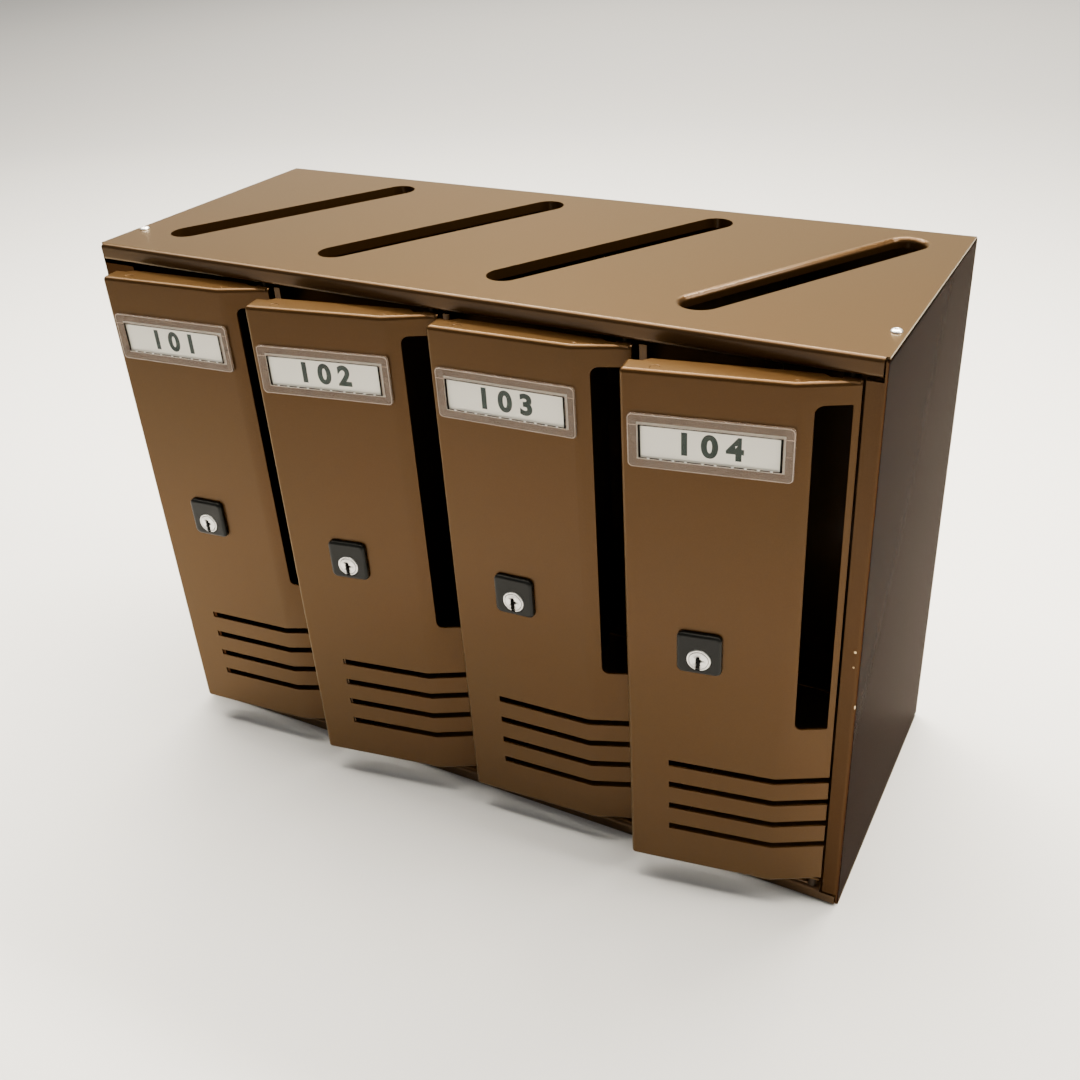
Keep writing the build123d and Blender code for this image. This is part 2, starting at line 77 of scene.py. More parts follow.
CAD_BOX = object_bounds()
NODES = frame["nodes"]
JOINTS = {joint["name"]: joint for joint in frame["joints"]}
DOORS = sorted(int(name.split("_")[1]) for name in JOINTS if name.endswith("_hinge"))
MM = 0.001
MERGED = 0.002 * MM     # points closer than this are one point
FLAT = radians(0.4)     # faces that meet at less than this are one face


# ---- sizes and colours a maker would change -------------------------------------------------
def length(name, description, millimetres):
    """A length property, shown in the scene's unit."""
    return FloatProperty(name=name, description=description, default=millimetres * MM,
                         min=0.0, unit="LENGTH", precision=5)


def colour(name, description, red, green, blue):
    """A linear colour property."""
    return FloatVectorProperty(name=name, description=description, subtype="COLOR",
                               size=3, min=0.0, max=4.0, default=(red, green, blue))


def share(name, description, value, top=1.0):
    """A plain factor."""
    return FloatProperty(name=name, description=description, default=value, min=0.0, max=top)


class MailboxPaint(bpy.types.PropertyGroup):
    bronze: colour("Bronze", "Main colour of the powder coat", 0.057, 0.0246, 0.0054)
    olive: colour("Olive", "Colour the bronze drifts towards", 0.052, 0.0260, 0.0072)
    metal: share("Metal", "How metallic the coat is", 0.80)
    roughness: share("Roughness", "Gloss of the coat", 0.34)
    varnish: share("Varnish", "Strength of the clear layer over the metal flakes", 0.26)
    door_varnish: share("Door varnish", "Strength of the clear layer on the doors", 0.18)
    side_varnish: share("Side varnish", "Strength of the clear layer on the side panels", 0.03)
    side_metal: share("Side metal", "How metallic the coat of the side panels is", 1.0)
    varnish_gloss: share("Varnish roughness", "Roughness of the clear layer", 0.16)
    # painted shade: the case gets a darker copy of the door coat, its colour scaled by this factor
    case_painted_shade: share("Case shade", "Brightness of the case beside the doors", 0.85, 2.0)
    # painted shade: the side panels get a recoloured copy of the coat, its colour multiplied by this
    side_painted_shade: colour("Side tint", "Colour of the side panels beside the doors", 0.90, 1.05, 2.00)
    flake: length("Flake", "Size of a metal flake in the coat", 0.35)
    peel: length("Peel", "Width of the orange-peel ripple", 2.2)
    peel_depth: length("Peel depth", "Height of the orange-peel ripple", 0.006)


class MailboxEdges(bpy.types.PropertyGroup):
    sheet: length("Sheet edge", "Rounding of a coated sheet edge", 0.25)
    hardware: length("Hardware edge", "Rounding of turned and stamped pieces", 0.12)
    steps: IntProperty(name="Steps", description="Steps in a rounded edge", default=2, min=1, max=6)


class MailboxLocks(bpy.types.PropertyGroup):
    bevel: length("Cap bevel", "Width of the bevel round the cap", 2.2)
    corner: length("Cap corner", "Corner radius of the cap", 3.6)
    groove: length("Groove", "Radius of the fine ring turned in the plug", 4.4)
    keyhole: length("Keyhole", "Half the width of the keyhole", 1.38)


class MailboxCards(bpy.types.PropertyGroup):
    paper: colour("Paper", "Colour of the name card", 0.97, 0.94, 0.84)
    ink: colour("Ink", "Colour of the box number", 0.002, 0.012, 0.009)
    digit: length("Digit height", "Height of the printed box number", 12.0)
    rim: length("Rim", "Rounding of the holder's outer edge", 1.0)
    # the dark gaps are a black band laid under the pane's edge: painted shade
    gap: length("Gap", "Dark gap above and below the pane", 0.5)
    side_gap: length("Side gap", "Dark gap at the pane's ends", 1.2)
    bead: length("Bead", "Radius of a bead under the window", 0.62)


class MailboxStage(bpy.types.PropertyGroup):
    floor: colour("Floor", "Colour of the studio floor", 0.76, 0.755, 0.745)
    over: share("Softbox", "Power of the broad softbox overhead in watts", 78.0, 1000.0)
    rear: share("Rear light", "Power of the low broad light behind the roof in watts", 4.5, 1000.0)
    wash: share("Floor wash", "Power of the light on the floor behind in watts", 150.0, 1000.0)
    strip: share("Fold strip", "Power of the strip that lights the folds in watts", 60.0, 1000.0)
    slot: share("Slot light", "Power of the light that catches the slot folds in watts", 26.0, 1000.0)
    fill: share("Fill", "Strength of the even light all round", 0.35, 10.0)
    lens: FloatProperty(name="Lens", description="Focal length in millimetres", default=39.44)


# ---- shader building ------------------------------------------------------------------------
class Wire:
    """One output of a shader tree, with ordinary arithmetic."""

    def __init__(self, finish, socket):
        self.finish = finish
        self.socket = socket

    def _math(self, operation, first, second):
        return self.finish.node("ShaderNodeMath", {"operation": operation}, {0: first, 1: second})

    def __add__(self, other):
        return self._math("ADD", self, other)

    def __radd__(self, other):
        return self._math("ADD", other, self)

    def __sub__(self, other):
        return self._math("SUBTRACT", self, other)

    def __rsub__(self, other):
        return self._math("SUBTRACT", other, self)

    def __mul__(self, other):
        return self._math("MULTIPLY", self, other)

    def __rmul__(self, other):
        return self._math("MULTIPLY", other, self)

    def above(self, level):
        """One where this is above a level, else zero."""
        return self._math("GREATER_THAN", self, level)


class Finish:
    """A material in the making: a shader tree that ends in one Principled surface."""

    def __init__(self, name, **constants):
        self.material = bpy.data.materials.new(name)
        self.material.use_nodes = True
        self.tree = self.material.node_tree
        self.tree.nodes.clear()
        self.surface = self.tree.nodes.new("ShaderNodeBsdfPrincipled")
        output = self.tree.nodes.new("ShaderNodeOutputMaterial")
        self.tree.links.new(self.surface.outputs[0], output.inputs[0])
        self.set(**constants)

    def put(self, socket, value):
        """Link a wire into a socket, or store a plain value on it."""
        if isinstance(value, Wire):
            self.tree.links.new(value.socket, socket)
        elif isinstance(value, (tuple, list)) and len(value) == 3 and socket.type == "RGBA":
            socket.default_value = (*value, 1.0)
        else:
            socket.default_value = value

    def set(self, **values):
        """Set sockets of the surface; base_color means Base Color."""
        for name, value in values.items():
            title = name.replace("_", " ").title().replace("Ior", "IOR")
            self.put(self.surface.inputs[title], value)

    def node(self, kind, settings=None, values=None, output=0):
        """Add a node: settings first, then the values or links of its sockets."""
        made = self.tree.nodes.new(kind)
        for name, value in (settings or {}).items():
            if name == "stops":
                ramp = made.color_ramp.elements
                while len(ramp) < len(value):
                    ramp.new(0.5)
                for element, (place, shade) in zip(ramp, value):
                    element.position = place
                    element.color = (*shade, 1.0)
            else:
                setattr(made, name, value)
        for key, value in (values or {}).items():
            self.put(made.inputs[key], value)
        return Wire(self, made.outputs[output])

    def place(self):
        """Position on the piece, in metres."""
        return self.node("ShaderNodeTexCoord", output="Object")

    def noise(self, size, detail=2.0, roughness=0.5):
        """Soft noise whose features are about this wide, in metres."""
        values = {"Vector": self.place(), "Scale": 1.0 / size, "Detail": detail,
                  "Roughness": roughness}
        return self.node("ShaderNodeTexNoise", None, values)

    def specks(self, size):
        """A random shade for each cell of about this width."""
        values = {"Vector": self.place(), "Scale": 1.0 / size}
        cells = self.node("ShaderNodeTexVoronoi", None, values, "Color")
        return self.node("ShaderNodeSeparateColor", None, {0: cells})

    def mix(self, share_of_second, first, second):
        """Blend two colours."""
        settings = {"data_type": "RGBA"}
        return self.node("ShaderNodeMix", settings,
                         {0: share_of_second, 6: first, 7: second}, 2)

    def bump(self, height, distance, under=None):
        """Turn a height into a normal; distance is the relief's depth in metres."""
        values = {"Height": height, "Distance": distance, "Strength": 1.0}
        if under is not None:
            values["Normal"] = under
        return self.node("ShaderNodeBump", None, values)


CREAM_EDGE = (1.0, 0.86, 0.62)
# dark specular edge tint for the side panels' copy of the coat: painted shade
DARK_EDGE = (0.10, 0.05, 0.01)


def powder_coat(name, paint, tint, varnish, metal, edge=CREAM_EDGE):
    """Bronze metallic powder coat with fine flakes and a faint orange peel."""
    coat = Finish(name, ior=1.5, coat_roughness=paint.varnish_gloss, coat_weight=varnish,
                  specular_ior_level=min(0.3, varnish), specular_tint=edge)
    drift = coat.noise(70 * MM, 2.0)
    flakes = coat.specks(paint.flake)
    peel = coat.noise(paint.peel, 2.0)
    grit = coat.noise(0.45 * MM, 1.0)
    # the tint scales the coat's colour; the case and side panels use it to paint shade into their
    # copies of the coat
    bronze = [factor * value for factor, value in zip(tint, paint.bronze)]
    olive = [factor * value for factor, value in zip(tint, paint.olive)]
    base = coat.mix(drift, bronze, olive)
    lighter = [1.5 * value for value in bronze]
    darker = [0.65 * value for value in bronze]
    flake_strength = 0.16
    base = coat.mix((flakes * 0.9).above(0.72) * flake_strength, base, lighter)
    base = coat.mix((1.0 - flakes).above(0.78) * flake_strength, base, darker)
    coat.set(
        base_color=base,
        metallic=metal,
        roughness=paint.roughness + 0.06 * grit + 0.03 * (flakes - 0.5),
        normal=coat.bump(grit, 0.0012 * MM, coat.bump(peel, paint.peel_depth)),
    )
    return coat.material


def black_moulding():
    """Semi-gloss black plastic with a fine moulded grain."""
    plastic = Finish("black_moulding", ior=1.5, specular_ior_level=0.16)
    grain = plastic.noise(0.25 * MM, 2.0)
    cloud = plastic.noise(6 * MM, 2.0)
    plastic.set(
        base_color=plastic.mix(cloud, (0.0035, 0.0036, 0.0028), (0.0060, 0.0062, 0.0050)),
        roughness=0.26 + 0.10 * grain,
        normal=plastic.bump(grain, 0.006 * MM),
    )
    return plastic.material


def nib_highlight_brass():
    """Bright yellow metal, a painted highlight on the stile nibs."""
    brass = Finish("nib_highlight_brass", metallic=1.0)
    wear = brass.noise(0.6 * MM, 2.0)
    brass.set(
        base_color=brass.mix(wear, (0.62, 0.46, 0.24), (0.80, 0.64, 0.38)),
        roughness=0.25 + 0.15 * wear,
    )
    return brass.material


def shadow_black():
    """Dull black painted shade for the inside of a keyhole and the gap round a window."""
    black = Finish("shadow_black", specular_ior_level=0.1)
    cloud = black.noise(1.0 * MM, 2.0)
    black.set(
        base_color=black.mix(cloud, (0.0020, 0.0016, 0.0012), (0.0045, 0.0035, 0.0026)),
        roughness=0.75 + 0.15 * cloud,
    )
    return black.material


def oiled_steel():
    """Dark oiled steel."""
    steel = Finish("oiled_steel", metallic=1.0)
    film = steel.noise(0.9 * MM, 3.0)
    steel.set(
        base_color=steel.mix(film, (0.035, 0.028, 0.020), (0.060, 0.048, 0.034)),
        roughness=0.38 + 0.16 * film,
        normal=steel.bump(film, 0.006 * MM),
    )
    return steel.material


def turned_nickel(name, shade):
    """Plated brass with fine rings left by the lathe and small marks from keys."""
    metal = Finish(name, metallic=1.0)
    rings = metal.node("ShaderNodeAttribute", {"attribute_name": "lathe"}, None, "Fac")
    ring_spacing = 0.16 * MM
    lines = metal.node("ShaderNodeMath", {"operation": "SINE"}, {0: rings * (tau / ring_spacing)})
    marks = metal.noise(0.8 * MM, 3.0, 0.7)
    dull = (shade * 0.74, shade * 0.72, shade * 0.69)
    bright = (shade, shade * 0.985, shade * 0.955)
    metal.set(
        base_color=metal.mix(marks, dull, bright),
        roughness=0.24 + 0.16 * marks,
        normal=metal.bump(lines, 0.0025 * MM, metal.bump(marks, 0.006 * MM)),
    )
    return metal.material


def zinc_plate():
    """Zinc-plated steel with a faint crystalline mottle."""
    metal = Finish("zinc_plate", metallic=1.0)
    cells = metal.specks(1.8 * MM)
    streaks = metal.noise(0.4 * MM, 3.0)
    metal.set(
        base_color=metal.mix(cells, (0.46, 0.47, 0.46), (0.60, 0.61, 0.60)),
        roughness=0.34 + 0.16 * streaks,
        normal=metal.bump(streaks, 0.006 * MM),
    )
    return metal.material


def rivet_aluminium():
    """Bright aluminium with a faint drawn grain."""
    metal = Finish("rivet_aluminium", metallic=1.0)
    grain = metal.noise(0.3 * MM, 2.0)
    metal.set(
        base_color=metal.mix(grain, (0.80, 0.80, 0.79), (0.92, 0.92, 0.90)),
        roughness=0.26 + 0.14 * grain,
        normal=metal.bump(grain, 0.006 * MM),
    )
    return metal.material


def brown_nylon():
    """Dark brown nylon."""
    nylon = Finish("brown_nylon", ior=1.5, specular_ior_level=0.12)
    cloud = nylon.noise(2.5 * MM, 2.0)
    nylon.set(
        base_color=nylon.mix(cloud, (0.020, 0.012, 0.006), (0.030, 0.018, 0.009)),
        roughness=0.42 + 0.10 * cloud,
        normal=nylon.bump(cloud, 0.02 * MM),
    )
    return nylon.material


def clear_moulding(name, haze_share):
    """Clear moulded plastic: mostly see-through, with a warm haze and flow marks."""
    plastic = Finish(name, ior=1.49)
    flow = plastic.noise(5.0 * MM, 3.0)
    plastic.set(
        base_color=plastic.mix(flow, (0.20, 0.135, 0.090), (0.26, 0.180, 0.125)),
        roughness=0.12 + 0.10 * flow,
        alpha=haze_share * (0.85 + 0.3 * flow),
        normal=plastic.bump(flow, 0.03 * MM),
    )
    return plastic.material


def rim_highlight_moulding():
    """A lighter copy of the clear plastic for its rounded edge: a painted highlight."""
    plastic = Finish("rim_highlight_moulding", ior=1.49, coat_weight=0.5)
    flow = plastic.noise(4.0 * MM, 2.0)
    plastic.set(
        base_color=plastic.mix(flow, (0.42, 0.32, 0.25), (0.60, 0.50, 0.42)),
        roughness=0.16 + 0.08 * flow,
        alpha=0.72 + 0.10 * flow,
    )
    return plastic.material


def card_paper(scene):
    """Uncoated white card with visible fibres."""
    cards = scene.mailbox_cards
    paper = Finish("card_paper", ior=1.4)
    fibre = paper.noise(0.5 * MM, 4.0, 0.7)
    tone = [0.93 * value for value in cards.paper]
    paper.set(
        base_color=paper.mix(fibre, tone, list(cards.paper)),
        roughness=0.72 + 0.12 * fibre,
        normal=paper.bump(fibre, 0.02 * MM),
    )
    return paper.material


def printed_ink(scene):
    """Dark green ink that lets a little of the fibre show."""
    ink = Finish("printed_ink")
    fibre = ink.noise(0.4 * MM, 3.0)
    dark = list(scene.mailbox_cards.ink)
    worn = [2.4 * value for value in dark]
    ink.set(base_color=ink.mix(fibre, dark, worn), roughness=0.5 + 0.2 * fibre)
    return ink.material


MATERIALS = {}


def finish_for(kind):
    """The material of one kind, made the first time it is asked for."""
    paint = bpy.context.scene.mailbox_paint
    makers = {
        # the case coat is a darker copy of the door paint: painted shade
        "case": lambda: powder_coat("case_powder_coat", paint, [paint.case_painted_shade] * 3,
                                    paint.varnish, paint.metal),
        # the side panels get a recoloured copy of the coat with little varnish and a dark specular
        # edge: painted shade
        "side": lambda: powder_coat("side_powder_coat", paint, paint.side_painted_shade,
                                    paint.side_varnish, paint.side_metal, DARK_EDGE),
        "door": lambda: powder_coat("door_powder_coat", paint, (1.0, 1.0, 1.0),
                                    paint.door_varnish, paint.metal),
        "black": black_moulding,
        "plug": lambda: turned_nickel("turned_nickel", 0.80),
        "zinc": zinc_plate,
        "rivet": rivet_aluminium,
        "nylon": brown_nylon,
        "pin": oiled_steel,
        "shadow": shadow_black,
        "clear": lambda: clear_moulding("clear_frame", 0.48),
        "pane": lambda: clear_moulding("clear_pane", 0.02),
        # painted highlight on the holder's rim and parting lines
        "bright": rim_highlight_moulding,
        # painted glint: the holder's small beads get bright nickel
        "bead": lambda: turned_nickel("window_bead", 0.92),
        # painted highlight on the stile nibs
        "nib": nib_highlight_brass,
        "card": lambda: card_paper(bpy.context.scene),
        "ink": lambda: printed_ink(bpy.context.scene),
    }
    if kind not in MATERIALS:
        MATERIALS[kind] = makers[kind]()
    return MATERIALS[kind]


# ---- mesh helpers ---------------------------------------------------------------------------
def new_piece(name, mesh, body, kind):
    """Wrap a finished mesh as a piece that rides on a body."""
    piece = bpy.data.objects.new(name, mesh)
    bpy.context.scene.collection.objects.link(piece)
    mesh.materials.clear()
    mesh.materials.append(finish_for(kind))
    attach(piece, body)
    return piece


def aimed(place, back):
    """A frame at a place, looking away from a direction, with its x axis level."""
    back = back.normalized()
    level = Vector((1, 0, 0))
    rise = back.cross(level).normalized()
    level = rise.cross(back).normalized()
    return Matrix.Translation(place) @ Matrix((level, rise, back)).transposed().to_4x4()


def even_normals(piece):
    """Keep flats flat beside their rounded edges."""
    modifier = piece.modifiers.new("even_normals", "WEIGHTED_NORMAL")
    modifier.keep_sharp = True
    modifier.weight = 60


def softened(node, radius, steps, sharp_angle=radians(38)):
    """A copy of a CAD node's mesh with its sharp edges rounded."""
    work = bmesh.new()
    work.from_mesh(NODES[node].data)
    bmesh.ops.remove_doubles(work, verts=work.verts, dist=MERGED)
    bmesh.ops.dissolve_limit(work, angle_limit=FLAT, verts=work.verts, edges=work.edges)
    sharp = [e for e in work.edges if e.is_manifold and e.calc_face_angle() > sharp_angle]
    bmesh.ops.bevel(work, geom=sharp, offset=radius, segments=steps, profile=0.5,
                    affect="EDGES", clamp_overlap=True)
    for face in work.faces:
        face.smooth = True
    mesh = bpy.data.meshes.new(node + "_soft")
    work.to_mesh(mesh)
    work.free()
    return mesh


def soften_node(node, body, kind, radius, steps):
    """Stand a softened copy in for a CAD node."""
    piece = new_piece(node + "_sheet", softened(node, radius, steps), body, kind)
    even_normals(piece)
    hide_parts(node)
    return piece


def door_frame(number):
    """Right, back and up of a door as a matrix, with its origin on the lock's axis."""
    joint = JOINTS[f"door_{number}_lock"]
    back = Vector(joint["axis"]).normalized()
    up = Vector((0, 0, 1))
    right = back.cross(up)
    turn = Matrix((right, back, up)).transposed().to_4x4()
    return Matrix.Translation(Vector(joint["pos_m"])) @ turn


def local_box(node, matrix):
    """Lowest and highest corner of a CAD node in a door's own frame."""
    inverse = matrix.inverted()
    points = [inverse @ vertex.co for vertex in NODES[node].data.vertices]
    low = Vector(min(point[axis] for point in points) for axis in range(3))
    high = Vector(max(point[axis] for point in points) for axis in range(3))
    return low, high


def loft(name, rings, matrix, close_start=True, close_end=True):
    """Skin a list of closed rings of points, with the ends filled if asked."""
    work = bmesh.new()
    layers = [[work.verts.new(matrix @ Vector(point)) for point in ring] for ring in rings]
    for lower, upper in zip(layers, layers[1:]):
        count = len(lower)
        for i in range(count):
            j = (i + 1) % count
            work.faces.new((lower[i], lower[j], upper[j], upper[i]))
    if close_start:
        work.faces.new(list(reversed(layers[0])))
    if close_end:
        work.faces.new(layers[-1])
    bmesh.ops.recalc_face_normals(work, faces=work.faces)
    for face in work.faces:
        face.smooth = True
    mesh = bpy.data.meshes.new(name)
    work.to_mesh(mesh)
    work.free()
    return mesh


def rounded_rectangle(width, height, corner, centre, depth, count=96):
    """Points round an upright rounded rectangle, evenly numbered by angle."""
    points = []
    for i in range(count):
        angle = tau * i / count
        quarter_x = 1 if cos(angle) >= 0 else -1
        quarter_z = 1 if sin(angle) >= 0 else -1
        x = quarter_x * (width / 2 - corner) + corner * cos(angle)
        z = quarter_z * (height / 2 - corner) + corner * sin(angle)
        points.append((centre[0] + x, depth, centre[1] + z))
    return points


def circle(radius, depth, count=96, centre=(0.0, 0.0)):
    """Points round an upright circle."""
    steps = [tau * i / count for i in range(count)]
    return [(centre[0] + radius * cos(a), depth, centre[1] + radius * sin(a)) for a in steps]


def add_lathe_marks(mesh, matrix):
    """Store each point's distance from the lock's axis, for the turning marks."""
    inverse = matrix.inverted()
    layer = mesh.attributes.new("lathe", "FLOAT", "POINT")
    for vertex in mesh.vertices:
        local = inverse @ vertex.co
        layer.data[vertex.index].value = (local.x ** 2 + local.z ** 2) ** 0.5


def lump(name, size, matrix):
    """A small rounded lump with a flattened crown; its y axis points into the sheet."""
    rings = []
    for i in range(1, 12):
        turn = pi * i / 12
        reach = sin(turn) ** 0.8
        rings.append([(size[0] * reach * x, -size[1] * cos(turn), size[2] * reach * z)
                      for x, _, z in circle(1.0, 0.0, 24)])
    return loft(name, rings, matrix)


def gathered(name, meshes):
    """Several small meshes as one."""
    work = bmesh.new()
    for mesh in meshes:
        work.from_mesh(mesh)
    joined = bpy.data.meshes.new(name)
    work.to_mesh(joined)
    work.free()
    return joined


def keyway(wide, front, back, matrix):
    """A cutter in the stepped outline of the keyhole, open at the bottom."""
    outline = [(-0.10, 2.00), (0.35, 1.75), (0.55, 1.20), (0.45, 0.70), (1.55, 0.35),
               (1.60, -0.30), (0.75, -0.55), (0.60, -1.20), (0.85, -1.90), (0.60, -2.60),
               (0.60, -6.50), (-1.30, -6.50), (-1.30, -2.80), (-1.00, -2.20), (-1.35, -1.50),
               (-1.10, -0.60), (-1.40, 0.10), (-1.00, 0.60), (-1.35, 1.20), (-0.85, 1.70)]
    rings = [[(x * wide, y, z * wide) for x, z in outline] for y in (front, back)]
    return loft("keyway", rings, matrix)


def sliced(mesh, cutter_mesh):
    """Cut one mesh out of another and return the result."""
    scene = bpy.context.scene
    target = bpy.data.objects.new("cut_target", mesh)
    cutter = bpy.data.objects.new("cut_tool", cutter_mesh)
    scene.collection.objects.link(target)
    scene.collection.objects.link(cutter)
    modifier = target.modifiers.new("cut", "BOOLEAN")
    modifier.operation = "DIFFERENCE"
    modifier.object = cutter
    modifier.solver = "EXACT"
    bpy.context.view_layer.update()
    graph = bpy.context.evaluated_depsgraph_get()
    result = bpy.data.meshes.new_from_object(target.evaluated_get(graph))
    bpy.data.objects.remove(target)
    bpy.data.objects.remove(cutter)
    return result


class Window:
    """Where the parts of one name holder lie, in its door's own frame."""

    def __init__(self, low, high, face, card_low, card_high):
        hidden_border = 1.0 * MM
        pane_recess = 0.5 * MM
        self.face, self.front = face, low.y
        self.pane = low.y + pane_recess
        self.card = card_low.y
        self.middle_x, self.middle_z = (low.x + high.x) / 2, (low.z + high.z) / 2
        self.outer_half, self.outer_height = (high.x - low.x) / 2, high.z - low.z
        self.centre_x = (card_low.x + card_high.x) / 2
        self.centre_z = (card_low.z + card_high.z) / 2
        self.half_width = (card_high.x - card_low.x) / 2 - hidden_border
        self.top, self.bottom = card_high.z - hidden_border, card_low.z + hidden_border

    def outline(self, inset, depth):
        """The holder's outer edge, drawn in by an inset."""
        corner = max(2.6 * MM - 0.6 * inset, 0.5 * MM)
        return rounded_rectangle(2 * (self.outer_half - inset), self.outer_height - 2 * inset,
                                 corner, (self.middle_x, self.middle_z), depth)

    def opening(self, inset, depth, side_inset=None):
        """The window's edge, drawn in by an inset, which may differ at its two ends."""
        side = inset if side_inset is None else side_inset
        width, height = 2 * (self.half_width - side), self.top - self.bottom - 2 * inset
        return rounded_rectangle(width, height, 0.35 * MM, (self.centre_x, self.centre_z), depth)

    def bead_places(self):
        """Places of the beads along the window: four, two and four with wider gaps between."""
        end_gap, group_gap = 5.2 * MM, 0.35
        steps = [bead + group * group_gap for group, beads in
                 enumerate((range(4), range(4, 6), range(6, 10))) for bead in beads]
        pitch = 2 * (self.half_width - end_gap) / steps[-1]
        return [self.centre_x + pitch * (step - steps[-1] / 2) for step in steps]


# ---- operators ------------------------------------------------------------------------------
class MAILBOX_OT_stage(bpy.types.Operator):
    """Floor, lights and camera"""
    bl_idname = "mailbox.stage"
    bl_label = "Stage"

    def execute(self, context):
        stage = context.scene.mailbox_stage
        self.floor(stage)
        self.world(stage)
        self.lights(stage)
        self.camera(stage)
        return {"FINISHED"}

    def floor(self, stage):
        """A pale flat floor with a faint cloud in it."""
        work = bmesh.new()
        reach = 6.0
        corners = [work.verts.new((x, y, 0.0)) for x, y in
                   ((-reach, -reach), (reach, -reach), (reach, reach), (-reach, reach))]
        work.faces.new(corners)
        mesh = bpy.data.meshes.new("studio_floor")
        work.to_mesh(mesh)
        work.free()
        floor = bpy.data.objects.new("studio_floor", mesh)
        bpy.context.scene.collection.objects.link(floor)
        paper = Finish("studio_paper")
        cloud = paper.noise(0.4, 2.0)
        tone = [0.985 * value for value in stage.floor]
        paper.set(base_color=paper.mix(cloud, tone, list(stage.floor)), roughness=0.9)
        mesh.materials.append(paper.material)

    def world(self, stage):
        """Even pale light from everywhere."""
        world = bpy.data.worlds.new("studio")
        world.use_nodes = True
        background = world.node_tree.nodes["Background"]
        background.inputs["Color"].default_value = (1.0, 0.985, 0.96, 1.0)
        background.inputs["Strength"].default_value = stage.fill
        bpy.context.scene.world = world

    def lights(self, stage):
        """A softbox and a strip overhead, a light behind and beside the roof, a wash on the floor."""
        low, high = CAD_BOX
        middle = (Vector(low) + Vector(high)) / 2
        down = Vector((0.0, 0.0, 1.0))
        # name, metres from the object's middle, back of the light if not in line, size, watts
        plans = (
            ("softbox", Vector((-0.38, 0.14, 1.18)), down, 1.95, 0.92, stage.over),
            ("rear_light", Vector((-0.85, 1.50, 0.62)), None, 2.4, 0.8, stage.rear),
            ("floor_wash", Vector((-0.90, 3.00, 2.60)), down, 3.2, 2.0, stage.wash),
            ("fold_strip", Vector((-0.05, 0.58, 1.15)), down, 1.6, 0.15, stage.strip),
            ("slot_light", Vector((1.15, 0.14, 1.00)), None, 0.9, 0.5, stage.slot),
        )
        for name, offset, facing, width, height, power in plans:
            light = bpy.data.lights.new(name, "AREA")
            light.shape = "RECTANGLE"
            light.size = width
            light.size_y = height
            light.energy = power
            light.color = (1.0, 0.93, 0.80)
            lamp = bpy.data.objects.new(name, light)
            lamp.matrix_world = aimed(middle + offset, facing or offset)
            bpy.context.scene.collection.objects.link(lamp)

    def camera(self, stage):
        """A camera above the right front corner, rolled a little."""
        low = Vector(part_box("left_side_panel")[0])
        high = Vector(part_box("right_side_panel")[1])
        width = high.x - low.x
        azimuth, elevation, roll = radians(28.54), radians(30.36), radians(-2.69)
        # in case widths from the case's front left corner on the floor
        place = Vector((1.2257, -1.0080, 1.1514)) * width
        back = Vector((sin(azimuth) * cos(elevation), -cos(azimuth) * cos(elevation),
                       sin(elevation)))
        level = Vector((0, 0, 1)).cross(back).normalized()
        rise = back.cross(level)
        right = level * cos(roll) + rise * sin(roll)
        up = rise * cos(roll) - level * sin(roll)
        data = bpy.data.cameras.new("camera")
        data.lens = stage.lens
        data.sensor_width = 36.0
        data.shift_x = -0.0415
        data.shift_y = -0.0235
        data.clip_start = 0.01
        camera = bpy.data.objects.new("camera", data)
        turn = Matrix((right, up, back)).transposed().to_4x4()
        front_left = Vector((low.x, low.y, 0.0))
        camera.matrix_world = Matrix.Translation(front_left + place) @ turn
        bpy.context.scene.collection.objects.link(camera)
        bpy.context.scene.camera = camera


class MAILBOX_OT_case(bpy.types.Operator):
    """Coated sheet panels of the case"""
    bl_idname = "mailbox.case"
    bl_label = "Case panels"

    def execute(self, context):
        edges = context.scene.mailbox_edges
        panels = ["left_side_panel", "right_side_panel", "roof_panel", "floor_panel",
                  "back_panel", "divider_1", "divider_2", "divider_3"]
        for node in panels:
            kind = "side" if "side" in node else "case"
            soften_node(node, "cabinet", kind, edges.sheet, edges.steps)
        self.nibs()
        return {"FINISHED"}

    def nibs(self):
        """Small weld nibs on the right stile; the lumps are modelled and their bright brass colour is
        a painted highlight.
        """
        low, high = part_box("right_side_panel")
        # name, millimetres in from the right edge, back from the front, up, and radius
        spots = (("upper", 3.0, 0.0, 192.0, 0.75), ("lower", 3.2, 0.0, 182.0, 0.55),
                 ("side", 0.75, 0.85, 155.0, 0.45))
        for name, inward, back, height, radius in spots:
            place = Vector((high.x - inward * MM, low.y + back * MM, height * MM))
            tall = 3.0 if name == "side" else 1.0
            size = (radius * MM, 0.35 * MM, radius * tall * MM)
            mesh = lump("weld_nib", size, Matrix.Translation(place))
            new_piece(f"weld_nib_{name}", mesh, "cabinet", "nib")


